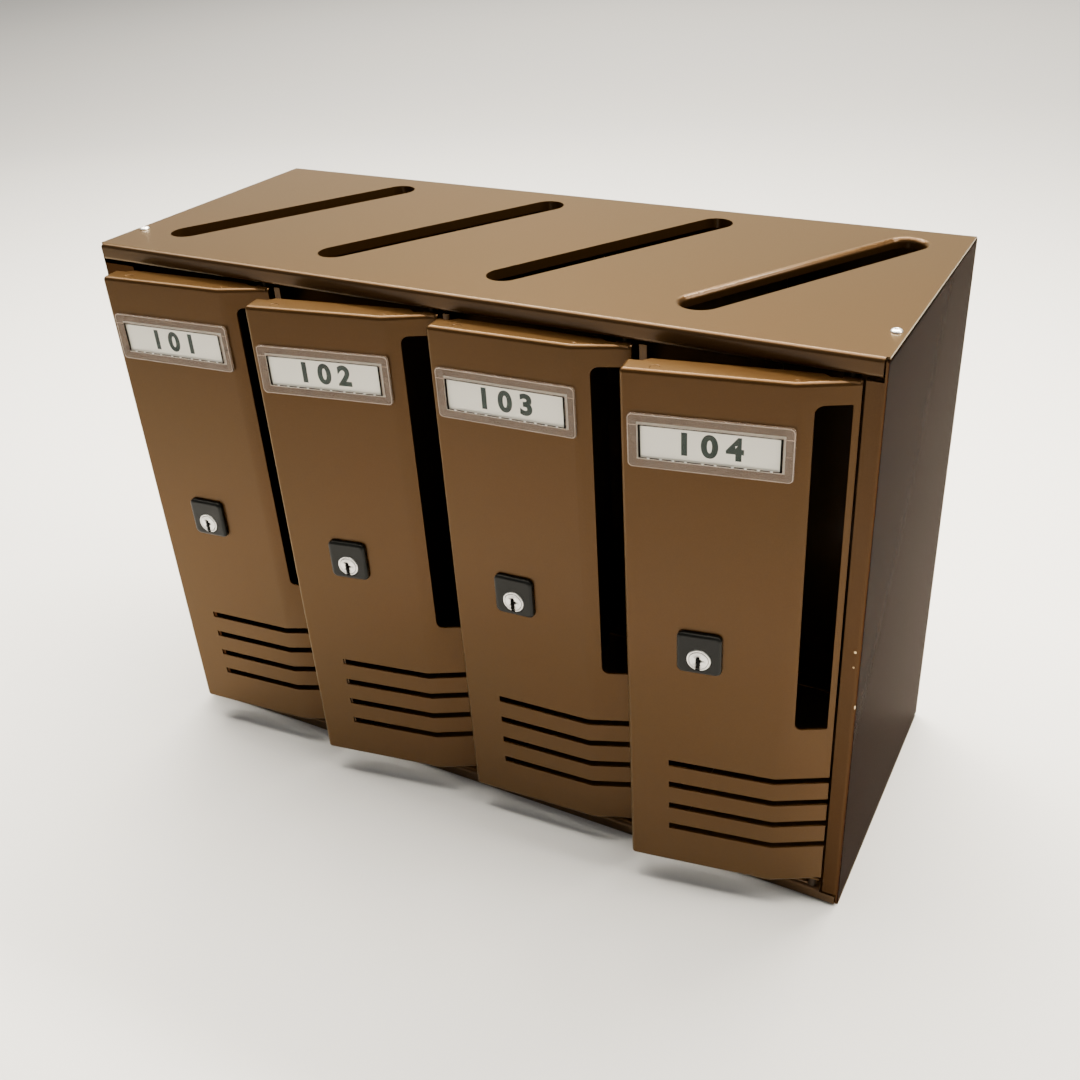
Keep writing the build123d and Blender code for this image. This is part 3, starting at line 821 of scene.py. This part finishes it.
class MAILBOX_OT_doors(bpy.types.Operator):
    """Folded door trays"""
    bl_idname = "mailbox.doors"
    bl_label = "Doors"

    def execute(self, context):
        edges = context.scene.mailbox_edges
        for number in DOORS:
            soften_node(f"door_{number}_panel", f"door_{number}", "door",
                        edges.sheet, edges.steps)
            self.marks(number)
        return {"FINISHED"}

    def marks(self, number):
        """A half ring stamped in the top flange and a small mark where the facet bends."""
        matrix = door_frame(number)
        low, high = local_box(f"door_{number}_panel", matrix)
        ring, tube = 2.5 * MM, 0.28 * MM
        middle = Vector((low.x + 17 * MM, low.y + 5.2 * MM, high.z))
        rings = []
        for i in range(17):
            turn = pi * (0.12 + 1.05 * i / 16)
            out = Vector((cos(turn), sin(turn), 0.0))
            centre = middle + ring * out
            rings.append([centre + tube * (cos(tau * k / 8) * out + sin(tau * k / 8) *
                                           Vector((0, 0, 1))) for k in range(8)])
        new_piece(f"flange_ring_{number}", loft("flange_ring", rings, matrix), f"door_{number}",
                  "door")
        bend = Vector((low.x + 86 * MM, low.y + 4.4 * MM, high.z - 0.1 * MM))
        size = (1.3 * MM, 0.6 * MM, 0.4 * MM)
        nib = lump("bend_mark", size, matrix @ Matrix.Translation(bend))
        new_piece(f"bend_mark_{number}", nib, f"door_{number}", "door")


class MAILBOX_OT_holders(bpy.types.Operator):
    """Clear name holders with their cards and box numbers"""
    bl_idname = "mailbox.holders"
    bl_label = "Name holders"

    def execute(self, context):
        cards = context.scene.mailbox_cards
        for number in DOORS:
            matrix = door_frame(number)
            low, high = local_box(f"door_{number}_name_holder", matrix)
            face = local_box(f"door_{number}_panel", matrix)[0].y
            card_low, card_high = local_box(f"door_{number}_name_card", matrix)
            window = Window(low, high, face, card_low, card_high)
            self.frame(cards, number, matrix, window)
            self.trim(cards, number, matrix, window)
            self.pegs(number, matrix, window, high.y)
            soften_node(f"door_{number}_name_card", f"door_{number}", "card",
                        0.1 * MM, 1)
            self.print_number(cards, number, matrix, window)
        return {"FINISHED"}

    def frame(self, cards, number, matrix, window):
        """The clear moulding: rounded outside, with a sunk pane over the card."""
        rings = [window.outline(0.0, window.face)]
        steps = 6
        for i in range(steps + 1):
            angle = 0.5 * pi * i / steps
            inset = cards.rim * (1 - cos(angle))
            rings.append(window.outline(inset, window.front + cards.rim * (1 - sin(angle))))
        rings.append(window.opening(-0.25 * MM, window.front))
        rings.append(window.opening(0.0, window.front + 0.25 * MM))
        rings.append(window.opening(0.0, window.face))
        mesh = loft("holder_frame", rings + [rings[0]], matrix, False, False)
        piece = new_piece(f"holder_frame_{number}", mesh, f"door_{number}", "clear")
        even_normals(piece)
        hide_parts(f"door_{number}_name_holder")
        pane = [window.opening(0.0, window.pane + 0.3 * MM), window.opening(0.0, window.pane)]
        new_piece(f"holder_pane_{number}", loft("pane", pane, matrix), f"door_{number}",
                  "pane")

    def trim(self, cards, number, matrix, window):
        """The rim as a painted highlight, the painted shade in the gap round the pane, the parting
        lines with a painted highlight and the beads with a painted glint.
        """
        body = f"door_{number}"
        tube = 0.22 * MM
        # a thin ring of lighter clear plastic inside the holder's outer edge: painted highlight
        rim = [window.outline(0.35 * MM + tube * (1 - cos(tau * i / 8)), window.front
                              + 0.30 * MM - tube * sin(tau * i / 8)) for i in range(9)]
        new_piece(f"holder_rim_highlight_{number}", loft("rim", rim, matrix, False, False), body,
                  "bright")
        # a black band round the pane's edge: painted shade in the gap
        depth = window.pane - 0.05 * MM
        inner = [window.opening(cards.gap, y, cards.side_gap) for y in (depth, depth + 0.1 * MM)]
        gap = [window.opening(0.0, depth), *inner, window.opening(0.0, depth + 0.1 * MM)]
        new_piece(f"window_gap_shade_{number}", loft("gap", gap + [gap[0]], matrix, False, False), body,
                  "shadow")
        lines, beads = [], []
        for side in (-1, 1):
            start = window.centre_x + side * window.half_width
            end = window.middle_x + side * (window.outer_half - 0.5 * MM)
            centre = ((start + end) / 2, window.top)
            line = [rounded_rectangle(abs(end - start) - 2 * inset, 0.28 * MM - 2 * inset, 0.08 * MM,
                                      centre, window.front + depth, 32)
                    for inset, depth in ((0.0, 0.05 * MM), (0.0, 0.01 * MM), (0.05 * MM, -0.01 * MM))]
            lines.append(loft("parting_line", line, matrix))
        # the parting lines get the same lighter clear plastic: a painted highlight on a real seam
        new_piece(f"parting_lines_{number}", gathered("parting_lines", lines), body,
                  "bright")
        # the beads are modelled bumps on the holder; their bright nickel finish is a painted glint
        size = (1.25 * cards.bead, 0.5 * cards.bead, 0.8 * cards.bead)
        for x in window.bead_places():
            place = Vector((x, window.front + 0.35 * MM, window.bottom + 0.35 * MM))
            beads.append(lump("window_bead", size, matrix @ Matrix.Translation(place)))
        new_piece(f"window_beads_{number}", gathered("window_beads", beads), body,
                  "bead")

    def pegs(self, number, matrix, window, back):
        """Two split pegs that hold the moulding in the door."""
        profile = ((1.55 * MM, window.face), (1.40 * MM, back - 1.0 * MM),
                   (1.55 * MM, back - 0.7 * MM), (1.10 * MM, back))
        pegs = []
        for side in (-1, 1):
            centre = (window.middle_x + side * (window.outer_half - 3.4 * MM), window.middle_z)
            pegs.append(loft("peg", [circle(radius, depth, 24, centre) for radius, depth in profile],
                             matrix))
        new_piece(f"holder_pegs_{number}", gathered("holder_pegs", pegs), f"door_{number}",
                  "clear")

    def print_number(self, cards, number, matrix, window):
        """A plain box number printed on the card."""
        text = bpy.data.curves.new("box_number", "FONT")
        text.body = f"{100 + number}"
        text.align_x, text.align_y = "CENTER", "CENTER"
        text.size = cards.digit / 0.73
        text.space_character = 1.55
        text.offset = 0.75 * MM
        text.extrude = 0.01 * MM
        letter = bpy.data.objects.new("box_number", text)
        bpy.context.scene.collection.objects.link(letter)
        bpy.context.view_layer.update()
        graph = bpy.context.evaluated_depsgraph_get()
        mesh = bpy.data.meshes.new_from_object(letter.evaluated_get(graph))
        bpy.data.objects.remove(letter)
        middle = Vector((window.centre_x, window.card - 0.02 * MM, window.centre_z - 0.1 * MM))
        upright = Matrix.Rotation(pi / 2, 4, "X")
        mesh.transform(matrix @ Matrix.Translation(middle) @ upright)
        new_piece(f"box_number_{number}", mesh, f"door_{number}", "ink")


class MAILBOX_OT_locks(bpy.types.Operator):
    """Cam locks: moulded cap, turned body, plug with its keyway, nut, cam and screw"""
    bl_idname = "mailbox.locks"
    bl_label = "Locks"

    def execute(self, context):
        scene = context.scene
        for number in DOORS:
            matrix = door_frame(number)
            self.cap(scene, number, matrix)
            self.body(scene, number, matrix)
            self.plug(scene, number, matrix)
            edges = scene.mailbox_edges
            for part, body in (("lock_nut", "door"), ("lock_cam", "lock"), ("cam_screw", "lock")):
                soften_node(f"door_{number}_{part}", f"{body}_{number}", "zinc",
                            edges.hardware, edges.steps)
        return {"FINISHED"}

    def cap(self, scene, number, matrix):
        """The black cover: bevelled outside, with a round hole for the lock body."""
        locks = scene.mailbox_locks
        low, high = local_box(f"door_{number}_lock_cap", matrix)
        hole = (local_box(f"door_{number}_lock_body", matrix)[1].x) + 0.1 * MM
        width, height = high.x - low.x, high.z - low.z
        centre = ((low.x + high.x) / 2, (low.z + high.z) / 2)
        rings = [circle(hole, high.y), rounded_rectangle(width, height, locks.corner, centre, high.y)]
        steps = 8
        for i in range(steps + 1):
            angle = 0.5 * pi * i / steps
            inset = locks.bevel * (1 - cos(angle))
            depth = low.y + locks.bevel * 0.75 * (1 - sin(angle))
            corner = max(locks.corner - 0.6 * inset, 1.2 * MM)
            rings.append(rounded_rectangle(width - 2 * inset, height - 2 * inset, corner,
                                           centre, depth))
        rings.append(circle(hole + 0.35 * MM, low.y))
        rings.append(circle(hole, low.y + 0.35 * MM))
        rings.append(circle(hole, high.y))
        mesh = loft("lock_cap", rings, matrix, False, False)
        piece = new_piece(f"lock_cap_{number}", mesh, f"door_{number}", "black")
        even_normals(piece)
        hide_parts(f"door_{number}_lock_cap")

    def body(self, scene, number, matrix):
        """The turned sleeve that shows as a bright ring round the plug."""
        low, high = local_box(f"door_{number}_lock_body", matrix)
        plug_radius = local_box(f"door_{number}_lock_plug", matrix)[1].x
        outer, inner = high.x, plug_radius + 0.05 * MM
        edge = 0.3 * MM
        rings = [circle(inner, high.y), circle(outer, high.y), circle(outer, low.y + edge),
                 circle(outer - 0.3 * edge, low.y + 0.3 * edge), circle(outer - edge, low.y),
                 circle(inner + 0.2 * MM, low.y), circle(inner, low.y + 0.3 * MM),
                 circle(inner, high.y)]
        mesh = loft("lock_body", rings, matrix, False, False)
        notch = keyway(scene.mailbox_locks.keyhole, low.y - 1 * MM, low.y + 1.0 * MM, matrix)
        mesh = sliced(mesh, notch)
        add_lathe_marks(mesh, matrix)
        piece = new_piece(f"lock_body_{number}", mesh, f"door_{number}", "plug")
        even_normals(piece)
        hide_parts(f"door_{number}_lock_body")

    def plug(self, scene, number, matrix):
        """The turning plug: chamfered face, one fine groove and a stepped keyway."""
        locks = scene.mailbox_locks
        low, high = local_box(f"door_{number}_lock_plug", matrix)
        radius = high.x
        edge, groove = 0.35 * MM, 0.14 * MM
        drive_length, half_drive = 1.6 * MM, 2.5 * MM
        shoulder = high.y - drive_length
        square = [(x * half_drive, z * half_drive) for x, z in ((1, 1), (-1, 1), (-1, -1), (1, -1))]
        rings = [circle(radius, shoulder), circle(radius, low.y + edge), circle(radius - edge, low.y),
                 circle(locks.groove + groove, low.y), circle(locks.groove, low.y + groove),
                 circle(locks.groove - groove, low.y), circle(2.0 * MM, low.y)]
        mesh = loft("lock_plug", rings, matrix)
        cutter = keyway(locks.keyhole, low.y - 1 * MM, low.y + 7 * MM, matrix)
        mesh = sliced(mesh, cutter)
        add_lathe_marks(mesh, matrix)
        stub = loft("stub", [[(x, y, z) for x, z in square] for y in (shoulder, high.y)], matrix)
        # a black disc behind the plug's face that fills the keyhole with painted shade
        keyhole_shade_disc = loft("keyhole_shade_disc", [circle(radius + 0.6 * MM, y) for y in
                                   (low.y + 0.9 * MM, low.y + 1.3 * MM)], matrix)
        new_piece(f"keyhole_painted_shade_{number}", keyhole_shade_disc, f"lock_{number}", "shadow")
        for face_mesh, title in ((mesh, "lock_plug"), (stub, "lock_drive")):
            piece = new_piece(f"{title}_{number}", face_mesh, f"lock_{number}", "plug")
            even_normals(piece)
            if title == "lock_plug":
                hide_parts(f"door_{number}_lock_plug")


class MAILBOX_OT_fasteners(bpy.types.Operator):
    """Rivets, hinge pins and spacers"""
    bl_idname = "mailbox.fasteners"
    bl_label = "Fasteners"

    def execute(self, context):
        edges = context.scene.mailbox_edges
        self.rivets()
        plans = (("upper_hinge_pins", "pin_steel", "pin"),
                 ("lower_hinge_pins", "pin_steel", "pin"),
                 ("hinge_spacers", "spacer_nylon", "nylon"))
        for node, slot, kind in plans:
            soften_node(node, "cabinet", kind, edges.hardware, edges.steps)
        return {"FINISHED"}

    def rivets(self):
        """Blind rivets: a domed head with the snapped mandrel sunk in its hole."""
        low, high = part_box("roof_rivets")
        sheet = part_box("left_side_panel")[1].z + 1.2 * MM
        head, hole, shank, tail = 3.1 * MM, 0.85 * MM, 1.6 * MM, 2.2 * MM
        rise = high.z - sheet
        for side, x in (("left", low.x + head), ("right", high.x - head)):
            matrix = Matrix.Translation((x, (low.y + high.y) / 2, 0.0))
            matrix = matrix @ Matrix(((1, 0, 0), (0, 0, 1), (0, -1, 0))).to_4x4()
            profile = [(hole, high.z - 0.12 * MM), (hole + 0.15 * MM, high.z)]
            for i in range(9):
                angle = 0.5 * pi * i / 8
                reach = hole + 0.25 * MM
                profile.append((reach + (head - reach) * sin(angle), sheet + rise * cos(angle)))
            profile += [(shank, sheet), (shank, sheet - 2.4 * MM), (tail, sheet - 2.4 * MM),
                        (tail, low.z), (hole, low.z)]
            rings = [circle(radius, -height, 48) for radius, height in profile]
            mesh = loft("blind_rivet", rings + [rings[0]], matrix, False, False)
            piece = new_piece(f"blind_rivet_{side}", mesh, "cabinet", "rivet")
            if side == "left":
                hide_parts("roof_rivets")
            stub = [circle(hole, -z, 24) for z in (high.z - 0.75 * MM, low.z)]
            new_piece(f"rivet_mandrel_{side}", loft("mandrel", stub, matrix), "cabinet",
                      "pin")


class MAILBOX_PT_panel(bpy.types.Panel):
    """Builds the mailbox's looks piece by piece"""
    bl_idname = "MAILBOX_PT_panel"
    bl_label = "Cluster Mailbox"
    bl_space_type = "VIEW_3D"
    bl_region_type = "UI"
    bl_category = "Mailbox"

    def draw(self, context):
        for operator in OPERATORS:
            self.layout.operator(operator.bl_idname)
        for group in GROUPS:
            settings = getattr(context.scene, GROUPS[group])
            box = self.layout.box()
            for name in group.__annotations__:
                box.prop(settings, name)


GROUPS = {
    MailboxPaint: "mailbox_paint",
    MailboxEdges: "mailbox_edges",
    MailboxLocks: "mailbox_locks",
    MailboxCards: "mailbox_cards",
    MailboxStage: "mailbox_stage",
}
OPERATORS = (MAILBOX_OT_stage, MAILBOX_OT_case, MAILBOX_OT_doors, MAILBOX_OT_holders,
             MAILBOX_OT_locks, MAILBOX_OT_fasteners)


def register():
    """Add the settings, operators and panel."""
    for group, name in GROUPS.items():
        bpy.utils.register_class(group)
        setattr(bpy.types.Scene, name, PointerProperty(type=group))
    for operator in OPERATORS:
        bpy.utils.register_class(operator)
    bpy.utils.register_class(MAILBOX_PT_panel)


def unregister():
    """Take them away again."""
    bpy.utils.unregister_class(MAILBOX_PT_panel)
    for operator in reversed(OPERATORS):
        bpy.utils.unregister_class(operator)
    for group, name in GROUPS.items():
        delattr(bpy.types.Scene, name)
        bpy.utils.unregister_class(group)


def main():
    """Build everything."""
    register()
    bpy.ops.mailbox.stage()
    bpy.ops.mailbox.case()
    bpy.ops.mailbox.doors()
    bpy.ops.mailbox.holders()
    bpy.ops.mailbox.locks()
    bpy.ops.mailbox.fasteners()
    bpy.context.view_layer.update()


if __name__ == "__main__":
    main()
